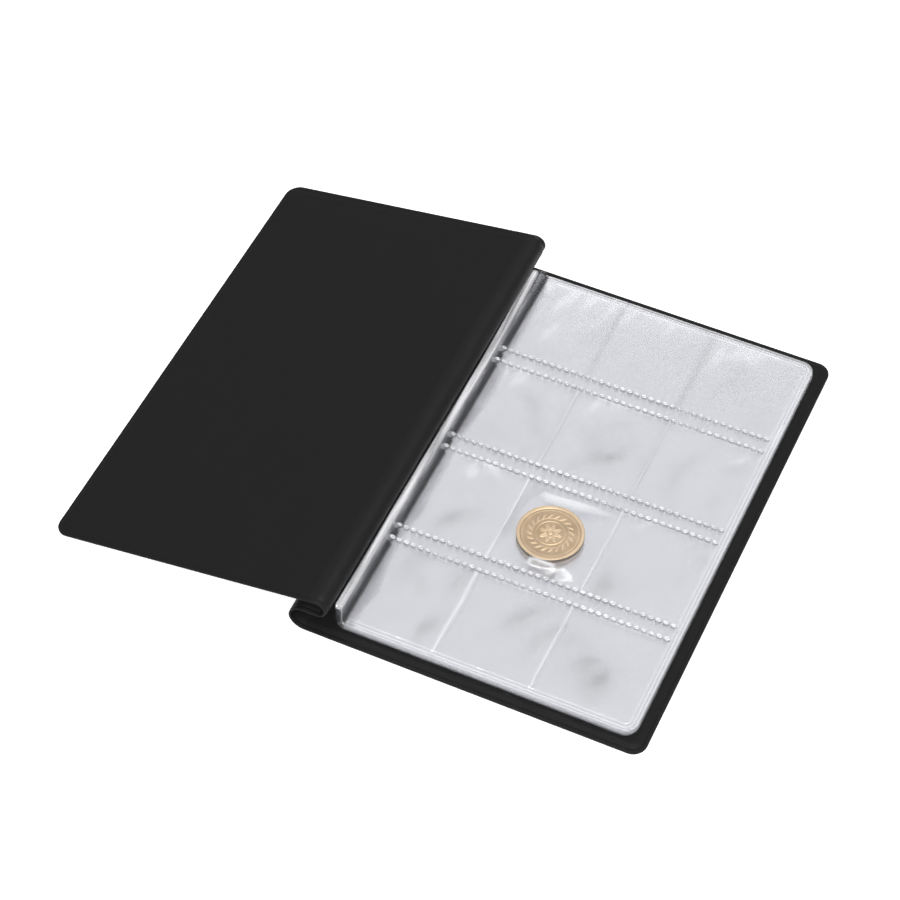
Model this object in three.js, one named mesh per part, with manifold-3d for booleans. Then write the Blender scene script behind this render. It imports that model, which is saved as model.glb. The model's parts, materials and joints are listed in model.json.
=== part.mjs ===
// Pocket coin album, lying open on a table: a soft black cover with a rolled spine,
// ten clear leaves of four rows by three pockets, and one small coin in the top leaf.
// Millimetres. X runs across the album, Y along its spine, Z up from the table.
// The origin is on the table, under the hinge line of the cover, half way along the spine.
import * as THREE from 'three';
import { mergeVertices } from 'three/addons/utils/BufferGeometryUtils.js';
import Module from 'manifold-3d';

const wasm = await Module();
wasm.setup();

// ---------- driving dimensions ----------
const COVER_LENGTH = 159;        // along the spine
const BACK_EDGE_X = 97.9;        // fore-edge of the back cover
const COVER_CORNER = 4.5;
const SKIN = 0.35;               // outer vinyl skin
const BOARD = 0.4;               // stiffener between the skins
const LINING = 0.25;             // inner vinyl skin
const PLY_GAP = 0.05;            // air between stacked sheets
const BOARD_INSET = 3;           // the weld seam that seals the board in

const ROLL_RADIUS = 5;           // rolled spine, to its outer face
const ROLL_X = -8.2;
const SHEET = 0.9;               // the bent parts of the cover: two skins, no board
const BEND_RADIUS = 3.5;         // hinge bend, to the face that looks at the leaves
const BEND_X = -4;
const BEND_Z = 2 * ROLL_RADIUS - SHEET + BEND_RADIUS;
const GUSSET_ANGLE = 60;         // share of the bend that swings as a link, in degrees
const CUT_ANGLE = 3;             // half of the slit at each line where the cover flexes

const PANEL_SLOPE = 9.6;         // the open front cover leans on the table, in degrees
const PANEL_WIDTH = 89;

const LEAVES = 10;
const FILM = 0.1;
const LEAF_PITCH = 0.28;
const LEAF_EDGE_X = 93.4;
const LEAF_LENGTH = 150.5;
const LEAF_CORNER = 4;
const MARGIN_X = 2.7;            // where a leaf starts to curve up to the binding
const MARGIN_BEND = 0.8;         // that curve on the top leaf
const MARGIN_PITCH = 0.2;        // between leaves, where they stand beside the hinge
const BINDING_Z = 9.95;          // underside of the welded binding bar
const BINDING_TOP = 11.3;
const BINDING_LEFT = -0.3;

const ROWS = 4;
const BAND = 5.6;                // between two rows of pockets
const EDGE_WELD = 1.2;
const COLUMN_WELDS = [30.2, 60.6];
const SLIT = 0.4;                // mouth of a row of pockets

const COIN_DIAMETER = 20.5;
const COIN_THICKNESS = 1.65;
const COIN_PLACE = [44.4, -20.6];

// ---------- finishes ----------
const finish = (color, roughness, metalness = 0, extra = {}) =>
  new THREE.MeshStandardMaterial({ color, roughness, metalness, ...extra });
const blackVinyl = finish('#262726', 0.55);
const greyBoard = finish('#6d6a64', 0.9);
const clearFilm = finish('#dfe2e4', 0.12, 0, { transparent: true, opacity: 0.3 });
const brass = finish('#cda96b', 0.35, 0.9);

// ---------- helpers ----------
const album = new THREE.Group();
const rad = THREE.MathUtils.degToRad;

function addMesh(name, geometry, material, parent = album) {
  const mesh = new THREE.Mesh(geometry, material);
  mesh.name = name;
  parent.add(mesh);
  return mesh;
}

// A flat outline from x0 to x1, with round corners on the side of x1 only.
function sheetOutline(x0, x1, length, corner) {
  const side = Math.sign(x1 - x0);
  const half = length / 2;
  const outline = new THREE.Shape();
  outline.moveTo(x0, -half);
  outline.lineTo(x1 - side * corner, -half);
  outline.absarc(x1 - side * corner, -half + corner, corner, -Math.PI / 2, side > 0 ? 0 : -Math.PI, side < 0);
  outline.absarc(x1 - side * corner, half - corner, corner, side > 0 ? 0 : Math.PI, Math.PI / 2, side < 0);
  outline.lineTo(x0, half);
  outline.closePath();
  return outline;
}

function plate(outline, z, thickness) {
  const geometry = new THREE.ExtrudeGeometry(outline, { depth: thickness, bevelEnabled: false, curveSegments: 6 });
  return geometry.translate(0, 0, z);
}

// A profile drawn in X and Z, carried along the spine.
function alongSpine(profile, length, curveSegments = 12) {
  const geometry = new THREE.ExtrudeGeometry(profile, { depth: length, bevelEnabled: false, curveSegments });
  return geometry.rotateX(Math.PI / 2).translate(0, length / 2, 0);
}

// Part of a round bend in the cover sheet, between two angles in degrees from +X towards +Z.
function bendSector(x, z, outerRadius, from, to, lead) {
  const sector = new THREE.Shape();
  const inner = outerRadius - SHEET;
  if (lead) sector.moveTo(...lead);
  sector.absarc(x, z, outerRadius, rad(from), rad(to), false);
  sector.absarc(x, z, inner, rad(to), rad(from), true);
  if (lead) sector.lineTo(lead[0], z - inner);
  sector.closePath();
  return sector;
}

function solid(geometry) {
  const bare = geometry.clone();
  bare.deleteAttribute('normal');
  bare.deleteAttribute('uv');
  const merged = mergeVertices(bare, 1e-5);
  return new wasm.Manifold(new wasm.Mesh({
    numProp: 3,
    vertProperties: new Float32Array(merged.attributes.position.array),
    triVerts: new Uint32Array(merged.index.array),
  }));
}

function geometryOf(body) {
  const { vertProperties, triVerts } = body.getMesh();
  const geometry = new THREE.BufferGeometry();
  geometry.setAttribute('position', new THREE.BufferAttribute(vertProperties, 3));
  geometry.setIndex(new THREE.BufferAttribute(triVerts, 1));
  return geometry;
}

// ---------- back cover ----------
const boardZ = SKIN + PLY_GAP;
const liningZ = boardZ + BOARD + PLY_GAP;
const backTop = liningZ + LINING;
addMesh('back_outer_skin', plate(sheetOutline(ROLL_X, BACK_EDGE_X, COVER_LENGTH, COVER_CORNER), 0, SKIN), blackVinyl);
addMesh('back_board', plate(
  sheetOutline(BOARD_INSET, BACK_EDGE_X - BOARD_INSET, COVER_LENGTH - 2 * BOARD_INSET, COVER_CORNER), boardZ, BOARD,
), greyBoard);
addMesh('back_lining', plate(sheetOutline(ROLL_X, BACK_EDGE_X, COVER_LENGTH, COVER_CORNER), liningZ, LINING), blackVinyl);

// ---------- rolled spine and the lip that comes back over it ----------
const rollGap = 1.5;             // degrees left open where the roll meets its neighbours
const roll = bendSector(ROLL_X - PLY_GAP, ROLL_RADIUS, ROLL_RADIUS, 90 + rollGap, 270 - rollGap);
addMesh('spine_roll', alongSpine(roll, COVER_LENGTH), blackVinyl);
const lip = bendSector(BEND_X, BEND_Z, BEND_RADIUS, -90, -CUT_ANGLE, [ROLL_X, BEND_Z - BEND_RADIUS]);
addMesh('hinge_lip', alongSpine(lip, COVER_LENGTH), blackVinyl);

// ---------- gusset: the link that swings over when the cover closes ----------
const gusset = bendSector(BEND_X, BEND_Z, BEND_RADIUS, CUT_ANGLE, GUSSET_ANGLE - CUT_ANGLE);
addMesh('cover_gusset', alongSpine(gusset, COVER_LENGTH, 6), blackVinyl);

// ---------- front cover, in a frame that lies along its inner face ----------
const bendEnd = 90 + PANEL_SLOPE;
const front = new THREE.Group();
front.position.set(
  BEND_X + BEND_RADIUS * Math.cos(rad(bendEnd)), 0, BEND_Z + BEND_RADIUS * Math.sin(rad(bendEnd)),
);
front.rotation.y = -rad(PANEL_SLOPE);
album.add(front);
const shoulder = bendSector(BEND_X, BEND_Z, BEND_RADIUS, GUSSET_ANGLE + CUT_ANGLE, bendEnd - rollGap);
addMesh('front_shoulder', alongSpine(shoulder, COVER_LENGTH, 6), blackVinyl);
const frontOutline = sheetOutline(-PLY_GAP, -PANEL_WIDTH, COVER_LENGTH, COVER_CORNER);
const frontBoard = sheetOutline(-BOARD_INSET, BOARD_INSET - PANEL_WIDTH, COVER_LENGTH - 2 * BOARD_INSET, COVER_CORNER);
addMesh('front_lining', plate(frontOutline, -LINING, LINING), blackVinyl, front);
addMesh('front_board', plate(frontBoard, -LINING - PLY_GAP - BOARD, BOARD), greyBoard, front);
addMesh('front_outer_skin', plate(frontOutline, -backTop, SKIN), blackVinyl, front);

// ---------- leaves ----------
const firstLeafZ = backTop + PLY_GAP + LEAF_PITCH * (LEAVES - 1);   // underside of the top leaf
const marginZ = firstLeafZ + MARGIN_BEND;                          // centre height of the margins' curves
const topMarginX = MARGIN_X - MARGIN_BEND;
const frontFilmLift = FILM + (LEAF_PITCH - 2 * FILM) / 2;
const leafTrim = solid(plate(sheetOutline(BINDING_LEFT - 1, LEAF_EDGE_X, LEAF_LENGTH, LEAF_CORNER), 0, BINDING_TOP));

// The back film lies flat, then curves up beside the hinge to the binding.
function backFilm(z, marginLeft) {
  const rx = MARGIN_X - marginLeft;
  const rz = marginZ - z;
  const outline = new THREE.Shape();
  outline.moveTo(LEAF_EDGE_X, z);
  outline.lineTo(LEAF_EDGE_X, z + FILM);
  outline.absellipse(MARGIN_X, marginZ, rx - FILM, rz - FILM, -Math.PI / 2, -Math.PI, true);
  outline.lineTo(marginLeft + FILM, BINDING_Z - PLY_GAP);
  outline.lineTo(marginLeft, BINDING_Z - PLY_GAP);
  outline.absellipse(MARGIN_X, marginZ, rx, rz, Math.PI, 1.5 * Math.PI, false);
  outline.closePath();
  return geometryOf(solid(alongSpine(outline, LEAF_LENGTH, 6)).intersect(leafTrim));
}

const pocketHeight = (LEAF_LENGTH - 2 * EDGE_WELD - (ROWS - 1) * BAND) / ROWS;
const rowTop = (row) => LEAF_LENGTH / 2 - EDGE_WELD - row * (pocketHeight + BAND);

// The front film has one slit along the top of each row: the mouths of its pockets.
function frontFilm(z) {
  const left = MARGIN_X + 0.3;
  const outline = sheetOutline(left, LEAF_EDGE_X, LEAF_LENGTH, LEAF_CORNER);
  for (let row = 0; row < ROWS; row += 1) {
    const y = rowTop(row) - SLIT;
    const mouth = new THREE.Path();
    mouth.moveTo(left + EDGE_WELD, y);
    mouth.lineTo(LEAF_EDGE_X - 2 * EDGE_WELD, y);
    mouth.lineTo(LEAF_EDGE_X - 2 * EDGE_WELD, y - SLIT);
    mouth.lineTo(left + EDGE_WELD, y - SLIT);
    mouth.closePath();
    outline.holes.push(mouth);
  }
  return plate(outline, z, FILM);
}

// The coin lifts the film of its pocket into a low pillow.
const coinRow = 2;
const coinZ = firstLeafZ + FILM + PLY_GAP;
const pillowX = (COLUMN_WELDS[0] + COLUMN_WELDS[1]) / 2;
const pillowY = rowTop(coinRow) - pocketHeight / 2;
function pillow(inset, z0, z1) {
  const width = COLUMN_WELDS[1] - COLUMN_WELDS[0] - 0.6 - 2 * inset;
  const height = pocketHeight - 1.6 - 2 * inset;
  const frustum = new THREE.CylinderGeometry(0.9, 1, 1, 4).rotateY(Math.PI / 4).rotateX(Math.PI / 2);
  frustum.scale(width / Math.SQRT2, height / Math.SQRT2, z1 - z0);
  return solid(frustum.translate(pillowX, pillowY, (z0 + z1) / 2));
}
function frontFilmOverCoin(z) {
  const underside = coinZ + COIN_THICKNESS + PLY_GAP;
  const raised = solid(frontFilm(z)).add(pillow(0, z, underside + FILM));
  return geometryOf(raised.subtract(pillow(FILM, z - FILM, underside)));
}

for (let leaf = 1; leaf <= LEAVES; leaf += 1) {
  const z = firstLeafZ - LEAF_PITCH * (leaf - 1);
  const label = `leaf_${String(leaf).padStart(2, '0')}`;
  addMesh(`${label}_back_film`, backFilm(z, topMarginX - MARGIN_PITCH * (leaf - 1)), clearFilm);
  const pockets = leaf === 1 ? frontFilmOverCoin(z + frontFilmLift) : frontFilm(z + frontFilmLift);
  addMesh(`${label}_front_film`, pockets, clearFilm);
}

// ---------- binding bar that the leaves are welded into ----------
const bar = new THREE.Shape();
bar.moveTo(BINDING_LEFT, BINDING_Z);
bar.lineTo(topMarginX + FILM + 0.1, BINDING_Z);
bar.absarc(topMarginX - 0.3, BINDING_TOP - 0.5, 0.5, 0, Math.PI / 2, false);
bar.lineTo(BINDING_LEFT, BINDING_TOP);
bar.closePath();
addMesh('page_binding', alongSpine(bar, LEAF_LENGTH, 4), clearFilm);

// ---------- coin ----------
const coinRadius = COIN_DIAMETER / 2;
const rim = 0.9;
const sunk = 0.12;
const coinProfile = [
  [0, sunk], [coinRadius - rim, sunk], [coinRadius - rim + 0.15, 0], [coinRadius - 0.12, 0], [coinRadius, 0.12],
  [coinRadius, COIN_THICKNESS - 0.12], [coinRadius - 0.12, COIN_THICKNESS],
  [coinRadius - rim + 0.15, COIN_THICKNESS], [coinRadius - rim, COIN_THICKNESS - sunk], [0, COIN_THICKNESS - sunk],
].map(([r, h]) => new THREE.Vector2(r, h));
const coin = new THREE.LatheGeometry(coinProfile, 36).rotateX(Math.PI / 2);
addMesh('coin', coin, brass).position.set(...COIN_PLACE, coinZ);

export default album;
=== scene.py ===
# %% [markdown]
# # A pocket coin album, lying open
# The album is welded together from soft vinyl film. A black cover wraps round a block
# of ten clear leaves, and each leaf has twelve pockets. One small brass coin sits in
# the top leaf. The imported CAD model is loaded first: it holds every size and every
# hinge, and each piece made below lies where that model says.

# %% Load the frame
import json
import math

import bpy
import numpy as np
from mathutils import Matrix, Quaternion, Vector


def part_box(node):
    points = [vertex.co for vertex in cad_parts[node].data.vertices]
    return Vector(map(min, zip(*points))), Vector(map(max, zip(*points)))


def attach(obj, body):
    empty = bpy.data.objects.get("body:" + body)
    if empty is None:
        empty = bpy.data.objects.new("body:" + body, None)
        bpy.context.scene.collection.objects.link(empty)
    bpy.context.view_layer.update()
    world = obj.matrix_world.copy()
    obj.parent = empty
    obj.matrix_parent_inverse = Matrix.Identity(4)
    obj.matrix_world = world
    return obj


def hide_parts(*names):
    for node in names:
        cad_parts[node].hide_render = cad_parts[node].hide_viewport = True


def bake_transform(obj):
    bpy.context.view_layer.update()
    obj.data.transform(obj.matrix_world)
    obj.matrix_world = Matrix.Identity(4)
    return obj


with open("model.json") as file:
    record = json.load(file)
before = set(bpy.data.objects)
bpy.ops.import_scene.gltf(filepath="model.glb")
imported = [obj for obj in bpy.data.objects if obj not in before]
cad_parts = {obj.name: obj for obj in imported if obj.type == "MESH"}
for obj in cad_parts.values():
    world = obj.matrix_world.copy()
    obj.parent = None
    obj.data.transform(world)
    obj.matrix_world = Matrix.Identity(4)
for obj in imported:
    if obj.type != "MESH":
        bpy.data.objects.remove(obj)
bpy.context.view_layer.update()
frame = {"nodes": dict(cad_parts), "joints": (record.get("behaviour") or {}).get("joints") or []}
MM = 0.001
joints = {j["name"]: j for j in frame["joints"]}
scene = bpy.context.scene


def node_box(name):
    """Lowest and highest corner of a CAD node, in millimetres."""
    low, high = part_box(name)
    return np.array(low) / MM, np.array(high) / MM


# %% [markdown]
# ## Camera
# The album is seen from above its lower right corner, from about 0.85 m away with a
# long lens, so its parallel edges stay nearly parallel. Depth of field stays off.

# %% Camera
VIEW_AZIMUTH = 24.55
VIEW_ELEVATION = 51.18
VIEW_ROLL = 0.15
VIEW_DISTANCE = 0.8472
VIEW_TARGET = Vector((0.0023, -0.0005, 0.0))
SENSOR_WIDTH = 36.0
FOCAL_LENGTH = 110.4

azimuth, elevation = math.radians(VIEW_AZIMUTH), math.radians(VIEW_ELEVATION)
towards_camera = Vector((
    math.sin(azimuth) * math.cos(elevation),
    -math.cos(azimuth) * math.cos(elevation),
    math.sin(elevation),
))
camera_data = bpy.data.cameras.new("camera")
camera_data.lens = FOCAL_LENGTH
camera_data.sensor_width = SENSOR_WIDTH
camera_data.clip_start = 0.01
camera = bpy.data.objects.new("camera", camera_data)
camera.location = VIEW_TARGET + towards_camera * VIEW_DISTANCE
camera.rotation_mode = "QUATERNION"
level = (-towards_camera).to_track_quat("-Z", "Y")
camera.rotation_quaternion = level @ Quaternion((0, 0, 1), math.radians(VIEW_ROLL))
scene.collection.objects.link(camera)
scene.camera = camera
print("camera at", [round(v, 3) for v in camera.location])

# %% [markdown]
# ## Shader sums in plain Python
# A finish is mostly arithmetic on patterns. `Value` wraps one socket of a node tree, so
# `0.2 + 0.5 * noise` adds the Math nodes by itself. `add_node` adds every other kind of
# node, in a material, in the room or in Geometry Nodes. `Finish` holds one material.

# %% Shader helpers


class Value:
    """One output socket of a node tree, usable in Python sums."""

    def __init__(self, tree, socket):
        self.tree, self.socket = tree, socket

    def sum(self, operation, *others, clamp=False):
        node = self.tree.nodes.new("ShaderNodeMath")
        node.operation, node.use_clamp = operation, clamp
        for slot, value in zip(node.inputs, (self, *others)):
            plug(self.tree, slot, value)
        return Value(self.tree, node.outputs[0])

    def __add__(self, other):
        return self.sum("ADD", other)

    def __radd__(self, other):
        return self.sum("ADD", other)

    def __mul__(self, other):
        return self.sum("MULTIPLY", other)

    def __rmul__(self, other):
        return self.sum("MULTIPLY", other)

    def __sub__(self, other):
        return self.sum("SUBTRACT", other)

    def __rsub__(self, other):
        return (self * -1.0) + other

    def __pow__(self, other):
        return self.sum("POWER", other)

    def clamped(self):
        return self.sum("ADD", 0.0, clamp=True)


def plug(tree, slot, value):
    """Links a Value to an input socket, or sets a plain number or colour on it."""
    if isinstance(value, Value):
        tree.links.new(value.socket, slot)
    else:
        slot.default_value = value


def add_node(tree, kind, settings=None, out=0, **values):
    """Adds a node: its settings first, then the values or links of its sockets."""
    node = tree.nodes.new(kind)
    for name, setting in (settings or {}).items():
        setattr(node, name, setting)
    for name, value in values.items():
        plug(tree, node.inputs[name.replace("_", " ")], value)
    return Value(tree, node.outputs[out])


class Finish:
    """A procedural material with one Principled shader."""

    def __init__(self, name):
        self.material = bpy.data.materials.new(name)
        self.material.use_nodes = True
        self.tree = self.material.node_tree
        self.shader = self.tree.nodes["Principled BSDF"]
        self.place = self.node("ShaderNodeTexCoord", out="Object")

    def node(self, kind, settings=None, out=0, **values):
        return add_node(self.tree, kind, settings, out, **values)

    def noise(self, scale, detail=2.0, roughness=0.5, vector=None, out=0):
        return self.node("ShaderNodeTexNoise", Vector=vector or self.place, Scale=scale,
                         Detail=detail, Roughness=roughness, out=out)

    def stretched(self, scale, turn=(0, 0, 0)):
        return self.node("ShaderNodeMapping", Vector=self.place, Scale=scale, Rotation=turn)

    def ramp(self, value, low, high):
        return self.node("ShaderNodeMapRange", {"interpolation_type": "SMOOTHSTEP"},
                         Value=value, From_Min=low, From_Max=high)

    def attribute(self, name):
        return self.node("ShaderNodeAttribute", {"attribute_name": name}, out="Fac")

    def bump(self, height, strength, distance, normal=None):
        values = {"Height": height, "Strength": strength, "Distance": distance}
        if normal is not None:
            values["Normal"] = normal
        return self.node("ShaderNodeBump", **values)

    def mix(self, share, first, second):
        node = self.tree.nodes.new("ShaderNodeMix")
        node.data_type = "RGBA"
        plug(self.tree, node.inputs["Factor"], share)
        plug(self.tree, node.inputs[6], first)
        plug(self.tree, node.inputs[7], second)
        return Value(self.tree, node.outputs[2])

    def set(self, **values):
        for name, value in values.items():
            plug(self.tree, self.shader.inputs[name.replace("_", " ")], value)
        return self.material


print("shader helpers ready")

# %% [markdown]
# ## Light
# Clear film has almost no colour of its own: a leaf looks pale because forty thin
# surfaces each mirror a little of the room. So the room matters. The upper part of it
# is a white light tent and the lower part is dim, which keeps the black vinyl deep and
# draws a dark line wherever film curves away. A soft box above adds the highlights.
# The camera itself sees only a plain pale backdrop. Film needs many see-through
# crossings on one ray, so that limit is raised. A shadow ray through forty films is
# slow and finds next to no shadow, so the lamps cast none and the tent isn't sampled
# apart: light is found by following the mirrored rays.

# %% Room, lamps and floor
TENT_BRIGHT = 1.16
TENT_DIM = 0.30
TENT_EDGE = (0.34, 0.70)         # heights on the sky dome between which the tent fades
FLOOR_SIZE = 6.0
FLOOR_DROP = 0.0004
FLOOR_GLOW = 0.4                 # a faint light of its own, which keeps its shadows pale

scene.view_settings.view_transform = "Standard"
scene.cycles.transparent_max_bounces = 96
scene.cycles.max_bounces = 14
scene.cycles.glossy_bounces = 10
scene.cycles.diffuse_bounces = 4
scene.cycles.sample_clamp_indirect = 6.0
scene.cycles.use_light_tree = False

world = bpy.data.worlds.new("light tent")
scene.world = world
world.use_nodes = True
world.cycles.sampling_method = "NONE"
room = world.node_tree
room.nodes.clear()
sky = add_node(room, "ShaderNodeTexCoord", out="Generated")
height = add_node(room, "ShaderNodeSeparateXYZ", out="Z", Vector=sky)
fade = add_node(room, "ShaderNodeMapRange", {"interpolation_type": "SMOOTHSTEP"},
                Value=height, From_Min=TENT_EDGE[0], From_Max=TENT_EDGE[1],
                To_Min=TENT_DIM, To_Max=TENT_BRIGHT)
tent = add_node(room, "ShaderNodeBackground", Strength=fade)
backdrop = add_node(room, "ShaderNodeBackground", Color=(1, 1, 1, 1), Strength=1.0)
seen = add_node(room, "ShaderNodeLightPath", out="Is Camera Ray")
choose = room.nodes.new("ShaderNodeMixShader")
for slot, value in zip(choose.inputs, (seen, tent, backdrop)):
    plug(room, slot, value)
world_output = room.nodes.new("ShaderNodeOutputWorld")
plug(room, world_output.inputs["Surface"], Value(room, choose.outputs[0]))


def soft_box(name, place, size, power):
    """A square lamp that points at the middle of the album."""
    lamp = bpy.data.lights.new(name, "AREA")
    lamp.size, lamp.energy = size, power
    lamp.use_shadow = False
    holder = bpy.data.objects.new(name, lamp)
    holder.location = place
    holder.rotation_mode = "QUATERNION"
    holder.rotation_quaternion = (-Vector(place)).to_track_quat("-Z", "Y")
    scene.collection.objects.link(holder)
    return holder


soft_box("soft box above", (0.25, -0.15, 1.5), 0.9, 13.0)
soft_box("soft box behind", (-0.45, 1.40, 0.95), 0.6, 1.0)
soft_box("soft box at the right", (1.2, 0.2, 0.9), 0.4, 2.0)

floor_mesh = bpy.data.meshes.new("floor")
half_floor = FLOOR_SIZE / 2
corners = [(x * half_floor, y * half_floor, -FLOOR_DROP)
           for x, y in ((-1, -1), (1, -1), (1, 1), (-1, 1))]
floor_mesh.from_pydata(corners, [], [(0, 1, 2, 3)])
floor_finish = Finish("pale floor")
floor_tone = floor_finish.noise(3.0)
floor_mesh.materials.append(floor_finish.set(
    Base_Color=floor_finish.mix(floor_tone, (0.93, 0.93, 0.93, 1), (0.95, 0.95, 0.95, 1)),
    Emission_Color=(1, 1, 1, 1), Emission_Strength=FLOOR_GLOW,
    Roughness=0.9, Specular_IOR_Level=0.1))
floor = bpy.data.objects.new("floor", floor_mesh)
scene.collection.objects.link(floor)
print("room and lamps ready")

# %% [markdown]
# ## Black vinyl
# The cover is calendered vinyl: a very fine, shallow grain, a satin gloss, and slow
# changes of tone where the sheet was stretched over its board. Handling polishes the
# rounded edge and the fold, so an attribute from the mesh marks where it is worn. The
# lining inside the cover is the same vinyl with a flatter grain.

# %% Vinyl finishes
BLACK = (0.0055, 0.0055, 0.0058, 1)
WORN_BLACK = (0.013, 0.013, 0.0135, 1)
GRAIN_PER_METRE = 2600.0


def vinyl(name, grain_depth, roughness, gloss):
    finish = Finish(name)
    tone = finish.noise(38.0, 3.0)
    worn = finish.attribute("worn")
    scuff = finish.ramp(finish.noise(190.0, 5.0, 0.7), 0.52, 0.78)
    cells = finish.node("ShaderNodeTexVoronoi", Vector=finish.place, Scale=GRAIN_PER_METRE)
    soft_grain = finish.noise(GRAIN_PER_METRE * 0.7, 3.0)
    slow_wave = finish.noise(55.0, 1.0)
    fine = finish.bump(cells * 0.6 + soft_grain * 0.7, 0.45, grain_depth)
    uneven = finish.bump(slow_wave, 0.5, 0.0009, fine)
    wear = (worn * (0.45 + scuff * 0.55) + tone * 0.10).clamped()
    return finish.set(
        Base_Color=finish.mix(wear, BLACK, WORN_BLACK),
        Roughness=roughness + tone * 0.12 - worn * 0.10,
        Specular_IOR_Level=gloss, Normal=uneven)


cover_vinyl = vinyl("black cover vinyl", 0.00006, 0.47, 0.18)
lining_vinyl = vinyl("black lining vinyl", 0.00004, 0.50, 0.16)
print("vinyl finishes ready")

# %% [markdown]
# ## Grey board
# The stiffener inside each cover is plain grey card. It hardly ever shows, but it has
# its own finish: pressed fibres and small dark specks.

# %% Board finish
board = Finish("grey board")
fibre = board.noise(900.0, 4.0, 0.7, board.stretched((1, 0.15, 1)))
speck = board.ramp(board.noise(2400.0, 2.0), 0.66, 0.74)
board_material = board.set(
    Base_Color=board.mix((fibre * 0.6 + speck * 0.4).clamped(),
                         (0.30, 0.28, 0.25, 1), (0.17, 0.155, 0.135, 1)),
    Roughness=0.9, Normal=board.bump(fibre, 0.4, 0.0001))
for board_node in ("back_board", "front_board"):
    mesh = frame["nodes"][board_node].data
    mesh.materials.clear()
    mesh.materials.append(board_material)
print("board finish ready")

# %% [markdown]
# ## Clear film
# A sheet of clear film lets nearly all light through and mirrors the rest, more of it
# at a glancing angle. The shader says just that: its opacity is the share of light
# that the surface mirrors, and what is opaque is mostly mirror, with a little milky
# haze. Where two films are welded the plastic is stretched and whiter, which the mesh
# marks with an attribute called weld. That attribute also carries painted highlights:
# the white sheen over the coin and the white streaks on column welds and binding bar.
# In the margins all ten leaves are melted into one, so no air is left between them to
# mirror anything, and a second attribute marks where. That one also carries painted
# shade: grey smudges in the pockets and dark lines beside the column welds, where the
# film mirrors less and the black cover shows through. Shade painted into the colour of
# the weld beads comes from an attribute called shade.
# Film in the lower leaves is the same without the fine ripples, because nothing that
# small shows through the leaf above.

# %% Film finishes
FILM_MIRROR = 0.045              # share of light one surface sends back head-on


def film(name, haze, rippled, weld_opacity=0.22, roughness=0.13, metallic=0.82,
         mirror=FILM_MIRROR, tint=(0.93, 0.935, 0.96, 1)):
    finish = Finish(name)
    grazing = finish.node("ShaderNodeLayerWeight", Blend=0.5, out="Facing")
    # Weld whiteness, and painted highlights carried in the same attribute.
    weld = finish.attribute("weld")
    # Fused margins, and painted shade carried in the same attribute: film that mirrors less.
    fused = finish.attribute("fused")
    mirror = (mirror + 0.9 * grazing ** 5.0) * (1.0 - fused)
    patches = finish.ramp(finish.noise(42.0, 3.0), 0.28, 0.70)
    milky = (0.2 + 0.8 * patches) * haze if rippled else 0.5 * haze
    values = {
        # The shade attribute paints shade into the colour: the skirt and heart of each weld
        # bead.
        "Base_Color": finish.mix(finish.attribute("shade"), tint, (0.10, 0.105, 0.125, 1)),
        "Metallic": metallic,
        "Alpha": (mirror + milky * (1.0 - fused) + weld * weld_opacity).clamped(),
        "Roughness": roughness + weld * 0.08,
    }
    if rippled:
        drawn = finish.noise(60.0, 2.0, 0.5, finish.stretched((1.0, 0.35, 1.0), (0, 0, 0.5)))
        pimple = finish.noise(420.0, 3.0, 0.6)
        values["Normal"] = finish.bump(pimple, 0.01, 0.00015, finish.bump(drawn, 0.7, 0.0035))
    return finish.set(**values)


clear_film = film("clear film", 0.012, True, weld_opacity=0.55)
inner_film = film("clear film of the lower leaves", 0.006, False, mirror=0.055,
                  weld_opacity=0.03, tint=(0.91, 0.915, 0.945, 1))
bead_film = film("welded bead film", 0.75, True, roughness=0.12, mirror=0.10, metallic=0.3,
                 tint=(0.97, 0.97, 1.0, 1))
low_bead_film = film("welded bead film of the lower leaves", 0.34, False, roughness=0.1,
                     metallic=0.5)
bar_film = film("clear binding film", 0.06, True, weld_opacity=0.80, roughness=0.16,
                metallic=0.6, tint=(0.98, 0.98, 1.0, 1))
print("film finishes ready")

# %% [markdown]
# ## One way to make every sheet
# Covers and films are thin sheets. Each is a closed shell: an upper grid of points, a
# lower grid, and a wall wherever a face has no neighbour. Faces can be left out, which
# cuts the mouths of the pockets. `smooth_step` and `ridge` shape the profiles.

# %% Sheet helpers


def smooth_step(low, high, value):
    t = np.clip((value - low) / (high - low), 0, 1)
    return t * t * (3 - 2 * t)


def ridge(value, centre, width):
    return np.exp(-(((value - centre) / width) ** 2))


def mesh_piece(name, points, faces, material, **attributes):
    """An object from points in millimetres, smooth shaded, with float attributes."""
    mesh = bpy.data.meshes.new(name)
    mesh.from_pydata((points * MM).tolist(), [], faces)
    for attribute, values in attributes.items():
        layer = mesh.attributes.new(attribute, "FLOAT", "POINT")
        layer.data.foreach_set("value", np.asarray(values, np.float32))
    mesh.materials.append(material)
    mesh.polygons.foreach_set("use_smooth", [True] * len(mesh.polygons))
    piece = bpy.data.objects.new(name, mesh)
    scene.collection.objects.link(piece)
    return piece


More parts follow.
